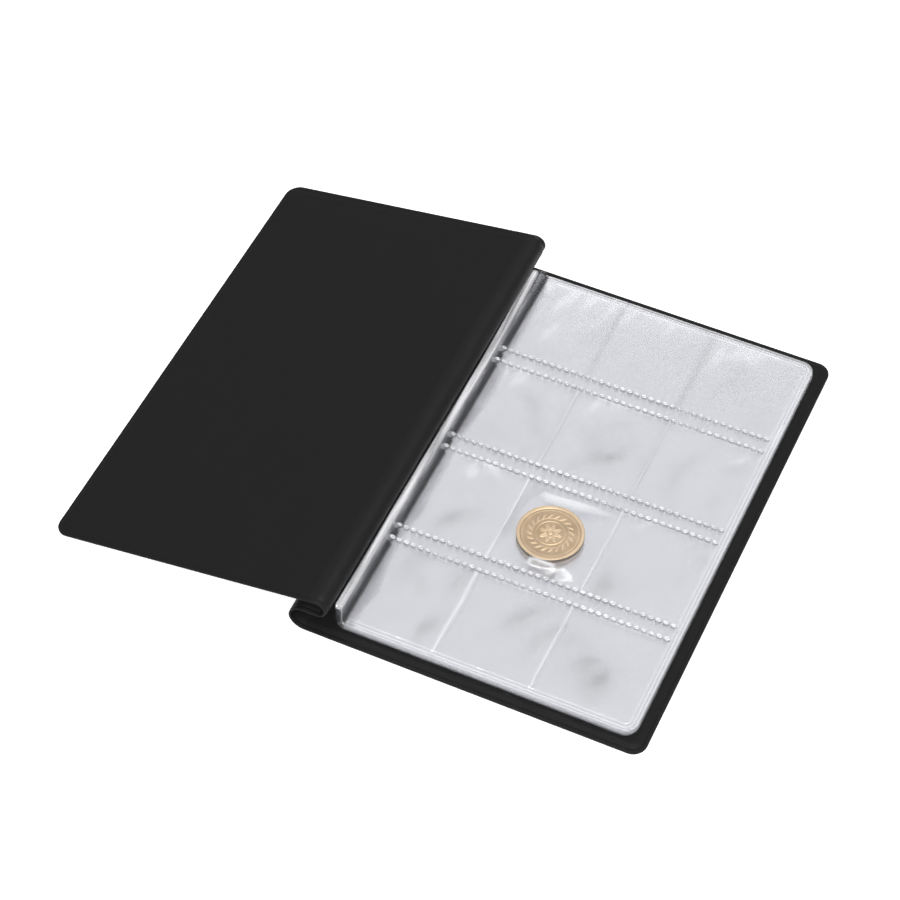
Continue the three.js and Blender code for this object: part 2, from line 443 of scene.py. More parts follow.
def sheet_piece(name, upper, lower, material, keep=None, sharp=True, **attributes):
    """A closed shell between two grids of points. Attributes are grids too."""
    rows, columns = upper.shape[:2]
    count = rows * columns
    index = np.arange(count).reshape(rows, columns)
    if keep is None:
        keep = np.ones((rows - 1, columns - 1), bool)
    a, b = index[:-1, :-1][keep], index[1:, :-1][keep]
    c, d = index[1:, 1:][keep], index[:-1, 1:][keep]
    top = np.stack([a, b, c, d], 1)
    edges = np.concatenate([top[:, [0, 1]], top[:, [1, 2]], top[:, [2, 3]], top[:, [3, 0]]])
    forward = edges[:, 0] * count + edges[:, 1]
    backward = edges[:, 1] * count + edges[:, 0]
    rim = edges[~np.isin(forward, backward)]
    wall = np.stack([rim[:, 1], rim[:, 0], rim[:, 0] + count, rim[:, 1] + count], 1)
    faces = np.concatenate([top, top[:, ::-1] + count, wall])
    points = np.concatenate([upper.reshape(-1, 3), lower.reshape(-1, 3)])
    used = np.unique(faces)
    renumber = np.zeros(2 * count, int)
    renumber[used] = np.arange(len(used))
    layers = {k: np.tile(np.asarray(v).ravel(), 2)[used] for k, v in attributes.items()}
    piece = mesh_piece(name, points[used], renumber[faces].tolist(), material, **layers)
    if sharp:
        rim_edges = {tuple(sorted(e)) for e in renumber[
            np.concatenate([wall[:, :2], wall[:, 2:]])].tolist()}
        mesh = piece.data
        keys = np.zeros(len(mesh.edges) * 2, np.int32)
        mesh.edges.foreach_get("vertices", keys)
        marks = [tuple(sorted(k)) in rim_edges for k in keys.reshape(-1, 2).tolist()]
        mesh.attributes.new("sharp_edge", "BOOLEAN", "EDGE").data.foreach_set("value", marks)
    return piece


def corner_inset(end, radius):
    """How far a rounded corner pulls the outline in, at a distance from the end."""
    return radius - np.sqrt(np.maximum(radius ** 2 - np.maximum(radius - end, 0) ** 2, 0))


def inside_distance(along, across, half_along, half_across, corner):
    """How far a point of a sheet is inside its rounded outline."""
    q_along = np.abs(along) - half_along + corner
    q_across = np.abs(across) - half_across + corner
    outside = np.hypot(np.maximum(q_along, 0), np.maximum(q_across, 0))
    return corner - outside - np.minimum(np.maximum(q_along, q_across), 0)


print("sheet helpers ready")

# %% [markdown]
# ## The cover, one folded sheet
# Seen from its end, the cover is one line: down the open front panel, round the hinge
# bend, along the lip, round the rolled spine and across the back. The function below
# turns a distance along that line into a place and a direction, so the skins can be
# made flat, with their seams, and folded at once.

# %% Path of the cover
COVER_HALF = node_box("back_lining")[1][1]
COVER_CORNER = 4.5
BACK_EDGE_X = node_box("back_lining")[1][0]
SHEET_HALF = 0.45                # half the thickness of the bent parts
PANEL_WIDTH, PANEL_SLOPE = 89.0, math.radians(9.6)
HINGE_CENTRE, HINGE_RADIUS = (-4.0, 12.6), 3.05
ROLL_CENTRE, ROLL_RADIUS = (-8.2, 5.0), 4.55
GUSSET_MIDDLE = math.radians(30)

hinge_turn = math.pi + PANEL_SLOPE
panel_end = PANEL_WIDTH
hinge_end = panel_end + hinge_turn * HINGE_RADIUS
lip_end = hinge_end + HINGE_CENTRE[0] - ROLL_CENTRE[0]
roll_end = lip_end + math.pi * ROLL_RADIUS
cover_end = roll_end + BACK_EDGE_X - ROLL_CENTRE[0]
hinge_start_angle = math.pi / 2 + PANEL_SLOPE
cover_split = panel_end + (hinge_start_angle - GUSSET_MIDDLE) * HINGE_RADIUS


def cover_line(s):
    """Points (x, z) on the middle of the cover and their normals towards the leaves."""
    turn = hinge_start_angle - (np.clip(s, panel_end, hinge_end) - panel_end) / HINGE_RADIUS
    x = HINGE_CENTRE[0] + HINGE_RADIUS * np.cos(turn)
    z = HINGE_CENTRE[1] + HINGE_RADIUS * np.sin(turn)
    normal_x, normal_z = np.cos(turn), np.sin(turn)
    on_panel = np.minimum(s - panel_end, 0)
    x, z = x + on_panel * math.cos(PANEL_SLOPE), z + on_panel * math.sin(PANEL_SLOPE)
    on_lip = np.clip(s - hinge_end, 0, lip_end - hinge_end)
    x = x - on_lip
    roll = (np.clip(s, lip_end, roll_end) - lip_end) / ROLL_RADIUS
    rolled = s > lip_end
    x = np.where(rolled, ROLL_CENTRE[0] - ROLL_RADIUS * np.sin(roll), x)
    z = np.where(rolled, ROLL_CENTRE[1] + ROLL_RADIUS * np.cos(roll), z)
    normal_x = np.where(rolled, np.sin(roll), normal_x)
    normal_z = np.where(rolled, -np.cos(roll), normal_z)
    return x + np.maximum(s - roll_end, 0), z, normal_x, normal_z


print("cover line is", round(float(cover_end), 1), "mm long")

# %% [markdown]
# ## Cover skins
# Two skins follow that line, the lining on the leaf side and the outer skin. They part
# round the stiff board and meet in the weld that runs round the edge, where the hot
# tool leaves one narrow groove. Each skin is cut in two at the middle of the gusset.

# %% Cover skins
WELD_AT, WELD_WIDTH, WELD_DEPTH = 1.45, 0.26, 0.14
SEAM_INNER, SEAM_OUTER = 1.9, 2.95
EDGE_ROUND = 0.30
random = np.random.default_rng(11)


def near_edge(length):
    """Grid lines near a rounded end: dense at the rim and over the weld."""
    corner = COVER_CORNER * (1 - np.cos(np.linspace(0, math.pi / 2, 11)))
    rim = np.array([0.06, 0.14, 0.24, 0.36, 0.6, 0.95, 1.15, 1.28, 1.4, 1.5, 1.62, 1.75, 1.95,
                    2.2, 2.45, 2.7, 3.0, 3.4, 4.0, 5.2])
    return np.concatenate([corner, rim, np.arange(6.5, length, 2.6)])


def grid_lines(values):
    values = np.unique(np.round(values, 4))
    return values[np.concatenate([[True], np.diff(values) > 0.03])]


across = near_edge(COVER_HALF)
across = grid_lines(np.concatenate([across - COVER_HALF, COVER_HALF - across]))
slow_phase = random.uniform(0, 2 * math.pi, 8)


def sag(s, y):
    """Slow unevenness of a soft sheet, from 0 to 1."""
    waves = (np.sin(s / 19 + y / 31 + slow_phase[0]) + np.sin(y / 17 - s / 41 + slow_phase[1])
             + 0.6 * np.sin(s / 9.5 + y / 13 + slow_phase[2]))
    return 0.5 + waves / 5.2


def skin(name, s_lines, lining):
    """One skin of the cover as a closed sheet, between two distances along the line."""
    s, y = np.meshgrid(s_lines, across, indexing="ij")
    end = np.minimum(s, cover_end - s)
    y = y * (COVER_HALF - corner_inset(end, COVER_CORNER)) / COVER_HALF
    edge = inside_distance(s - cover_end / 2, y, cover_end / 2, COVER_HALF, COVER_CORNER)
    back = smooth_step(roll_end + 1, roll_end + 9, s)
    front = 1 - smooth_step(panel_end - 2.6, panel_end, s)
    seam = 1 - smooth_step(SEAM_INNER, SEAM_OUTER, edge)
    if lining:
        low = 0.40 * back + 0.20 * front
        high = SHEET_HALF + 0.20 * back
        seam_low = -0.03 * (back - front)
        seam_high = 0.26 * np.ones_like(s)
        lift = 0.22 * sag(s, y) * (front + 0.4 * back) * smooth_step(3, 12, edge)
        low, high = low + lift, high + lift
    else:
        high = -0.10 * back - 0.30 * front
        low = -SHEET_HALF - 0.20 * front
        seam_high = -0.05 - 0.04 * front
        seam_low = -0.40 - 0.05 * back
    low, high = low + (seam_low - low) * seam, high + (seam_high - high) * seam
    groove = WELD_DEPTH * ridge(edge, WELD_AT, WELD_WIDTH)
    swollen = 0.05 * (ridge(edge, WELD_AT - 0.55, 0.3) + ridge(edge, WELD_AT + 0.6, 0.3))
    creased = 0.06 * (ridge(s, panel_end - 1.4, 0.35) + 0.6 * ridge(s, panel_end - 3.3, 0.4)
                      + ridge(s, hinge_end - 1.2, 0.3))
    mark = groove - swollen + creased
    if lining:
        high = high - mark
    else:
        low = low + mark * (1 - back)
    rim = np.sqrt(np.clip(1 - (1 - np.clip(edge / EDGE_ROUND, 0, 1)) ** 2, 0, 1))
    middle = (low + high) / 2
    half = (high - low) / 2 * (0.35 + 0.65 * rim)
    x, z, normal_x, normal_z = cover_line(s)
    sides = []
    for offset in (middle + half, middle - half):
        sides.append(np.stack([x + normal_x * offset, y, z + normal_z * offset], -1))
    worn = np.clip(0.5 * ridge(edge, 0.0, 0.4) + 0.4 * ridge(edge, WELD_AT, 0.3)
                   + 0.8 * smooth_step(panel_end - 3, panel_end, s) * (s < hinge_end - 4), 0, 1)
    material = lining_vinyl if lining else cover_vinyl
    piece = sheet_piece(name, *sides, material, worn=worn)
    return piece


rim_lines = near_edge(PANEL_WIDTH - 8)
bend_lines = np.linspace(panel_end - 5, cover_split, 26)
front_lines = grid_lines(np.concatenate([
    rim_lines, np.arange(PANEL_WIDTH - 8, panel_end - 5, 1.5), bend_lines]))
front_lines = np.append(front_lines[front_lines < cover_split - 0.03], cover_split)
back_bends = np.concatenate([np.linspace(cover_split, hinge_end, 24),
                             np.linspace(hinge_end, lip_end, 6),
                             np.linspace(lip_end, roll_end, 30),
                             roll_end + np.array([0.6, 1.2, 2.0, 3.0, 4.2, 5.6, 7.2, 9.0])])
back_lines = grid_lines(np.concatenate([
    back_bends, cover_end - near_edge(cover_end - roll_end - 9)]))

for label, is_lining in (("lining_sheet", True), ("outer_sheet", False)):
    front = skin("front_" + label, front_lines, is_lining)
    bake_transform(front)
    back = skin("back_" + label, back_lines, is_lining)
    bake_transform(back)
    if is_lining:
        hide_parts("front_lining")
        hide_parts("back_lining")
    else:
        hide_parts("front_outer_skin", "front_shoulder", "cover_gusset")
        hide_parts("back_outer_skin", "spine_roll", "hinge_lip")
    print(label, len(front.data.polygons) + len(back.data.polygons), "faces")

# %% [markdown]
# ## The swell of the leaf block
# Ten leaves of soft film never lie quite flat: each pocket is a little blown up and
# creased, and the pockets lie over each other, so the creases run through the block.
# `swell` says how far the top film stands above its flat place. Every film below takes
# its share of it, so that the films never cross. Over the coin's pocket it is zero.
# Grey smudges of painted shade lie in the pockets: there the film mirrors less, so the
# black cover shows through. One more darkens the film at the right end of the buckle.

# %% Pocket layout and swell
low_corner, high_corner = node_box("leaf_01_back_film")
LEAF_RIGHT, LEAF_HALF = high_corner[0], high_corner[1]
LEAF_LEFT = node_box("leaf_01_front_film")[0][0]
FIRST_LEAF_Z = low_corner[2]
LEAVES, LEAF_PITCH, FILM = 10, 0.28, 0.08
FRONT_LIFT = 0.15
EDGE_WELD, BAND, ROWS = 1.2, 5.6, 4
LEAF_CORNER = 4.0
COLUMN_WELDS = (30.2, 60.6)
SLIT_TOP, SLIT_BOTTOM = 0.4, 0.8
pocket_height = (2 * LEAF_HALF - 2 * EDGE_WELD - (ROWS - 1) * BAND) / ROWS
row_tops = [LEAF_HALF - EDGE_WELD - row * (pocket_height + BAND) for row in range(ROWS)]
column_edges = [(LEAF_LEFT + 0.2, COLUMN_WELDS[0]), COLUMN_WELDS,
                (COLUMN_WELDS[1], LEAF_RIGHT - 2.3)]
coin_low, coin_high = node_box("coin")
coin_centre, coin_radius = (coin_low + coin_high) / 2, (coin_high[0] - coin_low[0]) / 2
COIN_ROW, COIN_COLUMN = 2, 1
random = np.random.default_rng(23)
pockets = []
for row, top in enumerate(row_tops):
    for column, (left, right) in enumerate(column_edges):
        folds = []
        for _ in range(5):
            folds.append((random.uniform(left, right), random.uniform(top - pocket_height, top),
                          math.radians(random.uniform(35, 75)) * random.choice((1, 1, -1)),
                          random.uniform(0.7, 2.2), random.uniform(5, 13),
                          random.uniform(-0.30, 0.42) * (0.3, 0.8, 1.1, 1.1)[row]))
        pockets.append({
            "place": (row, column), "left": left, "right": right, "top": top,
            "bottom": top - pocket_height + (1.2 if row == ROWS - 1 else 0),
            "height": random.uniform(0.35, 0.75) * (0.55 + 0.22 * row),
            "lean": random.uniform(-0.25, 0.25, 2), "folds": folds,
        })


def swell(x, y):
    """Height of the top film above its flat place, in millimetres."""
    height = np.zeros_like(x)
    for pocket in pockets:
        if pocket["place"] == (COIN_ROW, COIN_COLUMN):
            continue
        u = (x - pocket["left"]) / (pocket["right"] - pocket["left"]) * 2 - 1
        v = (y - pocket["bottom"]) / (pocket["top"] - pocket["bottom"]) * 2 - 1
        inside = (np.abs(u) < 1) & (np.abs(v) < 1)
        side = np.clip(1 - np.abs(u) ** 3.2, 0, 1)
        foot = np.clip((v + 1) / 0.45, 0, 1)
        foot = foot * (2 - foot)
        mouth = 0.30 + 0.70 * np.clip((1 - v) / 0.5, 0, 1) ** 0.8
        window = side * foot * mouth * inside
        dome = 1 + pocket["lean"][0] * u + pocket["lean"][1] * v
        blown = pocket["height"] * dome * window
        for fold_x, fold_y, turn, width, length, depth in pocket["folds"]:
            along = (x - fold_x) * math.cos(turn) + (y - fold_y) * math.sin(turn)
            beside = (y - fold_y) * math.cos(turn) - (x - fold_x) * math.sin(turn)
            blown += depth * ridge(beside, 0, width) * ridge(along, 0, length) * window
        height += blown
    return height


# Smudges of painted shade, heavier in the lower rows.
random = np.random.default_rng(31)
painted_smudges = []
for pocket in pockets:
    weight = (0.35, 0.6, 1.0, 0.9)[pocket["place"][0]]
    for _ in range(8):
        painted_smudges.append((random.uniform(pocket["left"] + 3, pocket["right"] - 3),
                       random.uniform(pocket["bottom"] + 3, pocket["top"] - 5),
                       math.radians(random.uniform(30, 80)) * random.choice((1, 1, 1, -1)),
                       random.uniform(0.8, 3.2), random.uniform(3, 10),
                       weight * random.uniform(-0.10, 0.50)))


def painted_smudge(x, y):
    """Painted shade: how much darker each point is made, as film that mirrors less."""
    share = np.zeros_like(x)
    for smudge_x, smudge_y, turn, width, length, depth in painted_smudges:
        along = (x - smudge_x) * math.cos(turn) + (y - smudge_y) * math.sin(turn)
        beside = (y - smudge_y) * math.cos(turn) - (x - smudge_x) * math.sin(turn)
        share += depth * ridge(beside + 0.03 * along ** 2, 0, width) * ridge(along, 0, length)
    # Painted shade at the right end of the buckle below the coin.
    share += 0.75 * ridge(x, coin_centre[0] + 7.4, 2.8) * ridge(y, coin_centre[1] - 12.8, 1.7)
    return np.clip(share, 0, 0.8)


print(len(pockets), "pockets,", round(float(pocket_height), 1), "mm high")

# %% [markdown]
# ## Film over the coin
# The pocket film over the coin is a soap-film problem: it is held down at three welds,
# free at the mouth, and pushed up wherever the coin can slide. Letting every free point
# drift to the mean of its neighbours gives the true draped shape. A small tight buckle
# is added at the coin's lower edge. A highlight is painted on the film as whiter plastic:
# a white band below the pocket's mouth and a bright rim round the buckle.

# %% Film over the coin
TENT_STEP = 0.5
COIN_PLAY = 0.65                 # the film keeps this far off the coin's edge
left, right = COLUMN_WELDS[0] + 0.35, COLUMN_WELDS[1] - 0.35
bottom, top = row_tops[COIN_ROW] - pocket_height + 0.4, row_tops[COIN_ROW] - SLIT_BOTTOM
tent_x = np.arange(left, right + TENT_STEP / 2, TENT_STEP)
tent_y = np.arange(bottom, top + TENT_STEP / 2, TENT_STEP)
grid_x, grid_y = np.meshgrid(tent_x, tent_y, indexing="ij")
coin_lift = coin_high[2] - FIRST_LEAF_Z - FRONT_LIFT + 0.07
slide_low, slide_high = np.array(joints["coin_slide"]["range_m"]) / MM
past = grid_y - coin_centre[1]
past = past - np.clip(past, slide_low, slide_high)
on_coin = np.hypot(grid_x - coin_centre[0], past) < coin_radius + COIN_PLAY
draped = np.where(on_coin, coin_lift, 0.0)
for _ in range(900):
    padded = np.pad(draped, 1, mode="edge")
    relaxed = (padded[:-2, 1:-1] + padded[2:, 1:-1] + padded[1:-1, :-2] + padded[1:-1, 2:]) / 4
    relaxed[0], relaxed[-1], relaxed[:, 0] = 0, 0, 0
    draped = np.where(on_coin, coin_lift, relaxed)
print("film lifted by", round(float(coin_lift), 2), "mm over the coin")


def sample(grid, x, y):
    """Values of a tent grid at points, straight between its lines, 0 outside."""
    u = (x - tent_x[0]) / TENT_STEP
    v = (y - tent_y[0]) / TENT_STEP
    inside = (u > 0) & (v > 0) & (u < len(tent_x) - 1) & (v < len(tent_y) - 0.5)
    u = np.clip(u, 0, len(tent_x) - 1.001)
    v = np.clip(v, 0, len(tent_y) - 1.001)
    i, j = u.astype(int), v.astype(int)
    fu, fv = u - i, v - j
    value = (grid[i, j] * (1 - fu) * (1 - fv) + grid[i + 1, j] * fu * (1 - fv)
             + grid[i, j + 1] * (1 - fu) * fv + grid[i + 1, j + 1] * fu * fv)
    return value * inside


def buckle(x, y, place, turn, length, width, height):
    """A long rounded blister in the film."""
    turn = math.radians(turn)
    along = (x - place[0]) * math.cos(turn) + (y - place[1]) * math.sin(turn)
    beside = (y - place[1]) * math.cos(turn) - (x - place[0]) * math.sin(turn)
    return height * np.exp(-np.abs(along / length) ** 3.5 - (beside / width) ** 2)


BUCKLE_PLACE = (coin_centre[0] + 2.2, coin_centre[1] - 12.2)


def pocket_film(x, y):
    """Height of the top leaf's front film: the swell, or the drape over the coin."""
    height = swell(x, y) + sample(draped, x, y)
    held = smooth_step(0, 1.2, np.minimum(x - left, right - x)) * (y < row_tops[COIN_ROW])
    height += held * buckle(x, y, BUCKLE_PLACE, 0, 3.6, 1.1, 0.15)
    return height


def painted_sheen(x, y):
    """Painted highlight: how white the film over the coin is made, below its mouth and round the
    buckle.
    """
    along, up = x - coin_centre[0], y - coin_centre[1]
    up = up - 13.4 - 0.085 * along
    reach = smooth_step(-9, -5, along) * (1 - smooth_step(3, 15.5, along))
    band = smooth_step(-1.2 - 2.6 * reach, -0.3, up) * (1 - smooth_step(0, 0.5, up)) * reach
    aside = np.hypot(np.maximum(np.abs(x - BUCKLE_PLACE[0]) - 2.4, 0), y - BUCKLE_PLACE[1])
    rim = ridge(aside, 1.35, 0.36) + 0.25 * (aside < 1.35)
    return np.clip(band + rim, 0, 1)


# %% [markdown]
# ## Leaves
# A leaf is two films. The back film runs on past the pockets as a margin that curves
# up and stands beside the hinge. The front film carries the pockets, with a slit along
# the top of each row. Welds run round the edge, between the columns and twice across
# each band between rows.

# %% Films
MARGIN_X, MARGIN_BEND, MARGIN_TOP_X, MARGIN_PITCH = 2.7, 0.8, 1.9, 0.2
MARGIN_TOP_Z = node_box("page_binding")[0][2] + 0.25
BEND_CENTRE_Z = FIRST_LEAF_Z + MARGIN_BEND
TOP_LEVEL = 2 * LEAVES - 1


def leaf_shift(number):
    """How far each leaf slipped when the block was welded. The top leaf is true."""
    if number == 1:
        return 0.0, 0.0
    return random_shift[number - 2]


random_shift = np.random.default_rng(5).uniform(-0.42, 0.42, (LEAVES - 1, 2))


def leaf_profile(x, y, centre_x, half_x):
    """Distance inside the leaf's outline and the low ridges of its edge weld."""
    edge = inside_distance(x - centre_x, y, half_x, LEAF_HALF, LEAF_CORNER)
    profile = (0.05 * ridge(edge, 0.55, 0.28) - 0.07 * ridge(edge, 1.15, 0.20)
               + 0.05 * ridge(edge, 1.55, 0.22) - 0.04 * ridge(edge, 2.1, 0.18)
               + 0.09 * ridge(edge, 2.45, 0.25))
    return edge, profile


def between_bands(y):
    """1 over the pockets and 0 over the bands between their rows."""
    free = np.ones_like(y)
    for band_top in [row_tops[row] - pocket_height for row in range(ROWS - 1)]:
        free *= 1 - ((y < band_top) & (y > band_top - BAND))
    return free


def film_lines(fine):
    """Grid lines of a film along and across the leaf."""
    step = 1.0 if fine else 2.3
    rim = np.array([0, 0.12, 0.3, 0.55, 0.8, 1.0, 1.15, 1.3, 1.55, 1.8, 2.1, 2.3, 2.45, 2.6,
                    2.9, 3.4, 4.0])
    if not fine:
        rim = np.array([0, 0.55, 1.15, 1.55, 2.1, 2.45, 3.0, 4.0])
    corner = LEAF_CORNER * (1 - np.cos(np.linspace(0, math.pi / 2, 9 if fine else 6)))
    rim = np.concatenate([rim, corner])
    weld = np.array([-1.0, -0.7, -0.5, -0.3, -0.15, 0, 0.15, 0.3, 0.5, 0.7, 1.0])
    if not fine:
        weld = np.array([-0.6, 0, 0.6])
    x = np.concatenate([np.arange(LEAF_LEFT + step, LEAF_RIGHT - 4, step), LEAF_RIGHT - rim]
                       + [column + weld for column in COLUMN_WELDS])
    y = [np.arange(-LEAF_HALF + 4, LEAF_HALF - 4, step * 1.1), LEAF_HALF - rim, rim - LEAF_HALF]
    for band_top in row_tops:
        y.append(band_top - np.array([SLIT_TOP, SLIT_BOTTOM, SLIT_BOTTOM + 0.35]))
    for band_top in [row_tops[row] - pocket_height for row in range(ROWS - 1)]:
        y.append(band_top + np.array([0.5, 0.0, -0.4, -BAND + 0.4, -BAND]))
    if fine:
        y += [coin_centre[1] - np.arange(11.0, 14.6, 0.35),
              coin_centre[1] + np.arange(12.0, 17.0, 0.45)]
    return grid_lines(x), grid_lines(np.concatenate(y))


def rounded(x, y, centre_x, half_x):
    """Pulls the grid's outline in round the leaf's two corners at the fore-edge."""
    end = np.where(x < centre_x, LEAF_CORNER, half_x - np.abs(x - centre_x))
    edge_share = np.clip((np.abs(y) - (LEAF_HALF - 8)) / 8, 0, 1)
    return y - np.sign(y) * corner_inset(end, LEAF_CORNER) * edge_share


COLUMN_LOOKS = ((0.10, 0.34, 0.24), (0.36, 0.26, 0.30), (0.85, 0.08, 0.38),
                (1.0, 0.14, 0.58))       # whiteness (own and painted highlight), painted shade beside, half width, by row


def column_weld(x, y):
    """Weld whiteness with a painted highlight, and painted shade beside each weld, by row."""
    white, dark = np.zeros_like(x), np.zeros_like(x)
    for row_top, (whiteness, side_shade, width) in zip(row_tops, COLUMN_LOOKS):
        inside = smooth_step(0, 1.5, np.minimum(row_top - y, y - row_top + pocket_height))
        for column, share in zip(COLUMN_WELDS, (1.0, 0.75)):
            line = column + 0.12 * np.sin(y / 5.5 + column)
            # Whiter towards the lower rows: a painted highlight on the weld's own whiteness.
            white += whiteness * share * ridge(x, line, width * share) * inside
            # A dark line of painted shade beside each weld.
            dark += side_shade * ridge(x, line - 0.35, 0.75) * inside
    return white, dark


def front_film(number):
    fine = number == 1
    x_lines, y_lines = film_lines(fine)
    x_lines = np.append(LEAF_LEFT, x_lines[x_lines > LEAF_LEFT + 0.05])
    x, y = np.meshgrid(x_lines, y_lines, indexing="ij")
    centre_x, half_x = (LEAF_LEFT + LEAF_RIGHT) / 2, (LEAF_RIGHT - LEAF_LEFT) / 2
    wide_centre, wide_half = centre_x - 20, half_x + 20
    y = rounded(x, y, wide_centre, wide_half)
    edge, profile = leaf_profile(x, y, wide_centre, wide_half)
    profile = 0.6 * profile
    weld = 0.5 * np.clip(ridge(edge, 1.15, 0.2) + 0.9 * ridge(edge, 0.0, 0.3)
                          + 0.8 * ridge(edge, 2.3, 0.25), 0, 1)
    for column in COLUMN_WELDS:
        beside = np.abs(x - column)
        over_pockets = between_bands(y)
        profile -= 0.04 * ridge(beside, 0, 0.22) * over_pockets
        profile += 0.06 * ridge(beside, 0.52, 0.24) * over_pockets
    white, dark = column_weld(x, y)
    # Painted highlights join the weld whiteness here: the column streaks and, on the top leaf,
    # the sheen over the coin.
    weld = np.clip(weld + white + (painted_sheen(x, y) if fine else 0), 0, 1)
    base = FIRST_LEAF_Z - LEAF_PITCH * (number - 1) + FRONT_LIFT
    if fine:
        height = pocket_film(x, y) + profile
    else:
        height = swell(x, y) * (2 * (LEAVES - number) + 1) / TOP_LEVEL + profile * 0.35
    mouths = np.zeros((len(x_lines) - 1, len(y_lines) - 1), bool)
    middle_y = (y_lines[1:] + y_lines[:-1]) / 2
    middle_x = (x_lines[1:] + x_lines[:-1]) / 2
    for row_top in row_tops:
        in_slit = (middle_y < row_top - SLIT_TOP) & (middle_y > row_top - SLIT_BOTTOM)
        open_x = (middle_x > LEAF_LEFT + EDGE_WELD) & (middle_x < LEAF_RIGHT - 2 * EDGE_WELD)
        for column in COLUMN_WELDS:
            open_x &= np.abs(middle_x - column) > 0.5
        mouths |= open_x[:, None] & in_slit[None, :]
    shift_x, shift_y = leaf_shift(number)
    slip = smooth_step(3, 12, x)
    x, y = x + shift_x * slip, y + shift_y * slip
    lower = np.stack([x, y, base + height], -1)
    upper = lower + (0, 0, FILM * (1.0 if fine else 0.8))
    # Over the pocket film this attribute is painted shade only: smudges and dark lines beside
    # the column welds.
    piece = sheet_piece(f"leaf_{number:02d}_pocket_film", upper, lower,
                        clear_film if fine else inner_film, keep=~mouths, weld=weld,
                        fused=np.clip(painted_smudge(x, y) + dark, 0, 0.85))
    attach(piece, f"leaf_{number:02d}")
    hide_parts(f"leaf_{number:02d}_front_film")
    return piece


def margin_line(number, share):
    """The margin's curve from its top (share 0) to the flat leaf (share 1)."""
    top_x = MARGIN_TOP_X - MARGIN_PITCH * (number - 1)
    flat_z = FIRST_LEAF_Z - LEAF_PITCH * (number - 1)
    straight = 0.45
    turn = np.clip((share - straight) / (1 - straight), 0, 1) * math.pi / 2
    x = MARGIN_X - (MARGIN_X - top_x) * np.cos(turn)
    z = BEND_CENTRE_Z - (BEND_CENTRE_Z - flat_z) * np.sin(turn)
    z = z + np.clip(1 - share / straight, 0, 1) * (MARGIN_TOP_Z - BEND_CENTRE_Z)
    return x, z, -np.cos(turn), np.sin(turn)


def back_film(number):
    fine = number == 1
    x_lines, y_lines = film_lines(False)
    x_lines = x_lines[x_lines > MARGIN_X + 0.4]
    shares = np.linspace(0, 1, 22 if fine else 15)
    flat_x, y = np.meshgrid(x_lines, y_lines, indexing="ij")
    margin_s, margin_y = np.meshgrid(shares, y_lines, indexing="ij")
    centre_x, half_x = LEAF_RIGHT - 80, 80
    y = rounded(flat_x, y, centre_x, half_x)
    edge, profile = leaf_profile(flat_x, y, centre_x, half_x)
    flat_z = FIRST_LEAF_Z - LEAF_PITCH * (number - 1) + np.zeros_like(flat_x)
    flat_z += swell(flat_x, y) * 2 * (LEAVES - number) / TOP_LEVEL + 0.2 * profile
    shift_x, shift_y = leaf_shift(number)
    slip = smooth_step(3, 12, flat_x)
    lower_flat = np.stack([flat_x + shift_x * slip, y + shift_y * slip, flat_z], -1)
    side = np.abs(margin_y) / LEAF_HALF
    drawn = 0.10 * np.sin(margin_y / 5.3 + number) * ridge(margin_s, 0.25, 0.2)
    mx, mz, normal_x, normal_z = margin_line(number, margin_s)
    lower_margin = np.stack([mx + drawn * 0.5, margin_y * (1 - 0.004 * (1 - margin_s) * side),
                             mz], -1)
    upper_margin = lower_margin - np.stack(
        [normal_x * -FILM, np.zeros_like(mx), normal_z * -FILM], -1)
    lower = np.concatenate([lower_margin, lower_flat])
    upper = np.concatenate([upper_margin, lower_flat + (0, 0, FILM)])
    weld = 0.3 * np.clip(ridge(edge, 0.0, 0.3) + 0.6 * ridge(edge, 1.15, 0.3), 0, 1)
    end = 0.7 * ridge(LEAF_HALF - np.abs(margin_y), 0.2, 0.3)
    drawn = (1 - smooth_step(0.10, 0.36, margin_s)) * (0.24 + 0.12 * np.sin(margin_y / 2.7))
    weld = np.concatenate([np.clip(0.01 + end + drawn, 0, 1), weld])
    # The margins are really melted together; over the flat leaf the values are painted shade.
    fused = np.concatenate([0.92 * (1 - 0.9 * smooth_step(0.93, 1.0, margin_s)),
                            np.clip(painted_smudge(flat_x, y) + column_weld(flat_x, y)[1], 0, 0.7)])
    piece = sheet_piece(f"leaf_{number:02d}_back_sheet", upper, lower,
                        clear_film if fine else inner_film, weld=weld, fused=fused)
    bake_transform(piece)
    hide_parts(f"leaf_{number:02d}_back_film")
    return piece


for number in range(1, LEAVES + 1):
    sheets = front_film(number), back_film(number)
    if number in (1, 2):
        print(sheets[0].name, [len(sheet.data.polygons) for sheet in sheets], "faces")

# %% [markdown]
# ## Weld beads
# Two rows of beads cross each band: the tool that welds the pockets shut is a toothed
# wheel, and every tooth leaves a small oval ring. They all have one shape at one
# pitch, so Geometry Nodes set a ring at each step along a line and turn it to follow
# the line. Each leaf has its own lines, which start on the curve of its margin.

# %% Bead shape
BEAD_PITCH, BEAD_LENGTH, BEAD_WIDTH = 2.38, 2.20, 1.60


def bead_template(name, sides, rings, material):
    """A ring-shaped bead, 1 mm across and 1 mm high, with painted shade on its skirt and heart.
    """
    points, faces, shades = [], [], []
    for radius, height, shade in rings:
        shades += [shade] * sides
        for side in range(sides):
            turn = 2 * math.pi * side / sides
            points.append((radius * math.cos(turn), radius * math.sin(turn), height))
    for ring in range(len(rings) - 1):
        for side in range(sides):
            after = (side + 1) % sides
            low, high = ring * sides, (ring + 1) * sides
            faces.append((low + side, low + after, high + after, high + side))
    faces.append(tuple(range(sides))[::-1])
    faces.append(tuple(range((len(rings) - 1) * sides, len(rings) * sides)))
    return mesh_piece(name, np.array(points), faces, material, shade=shades)


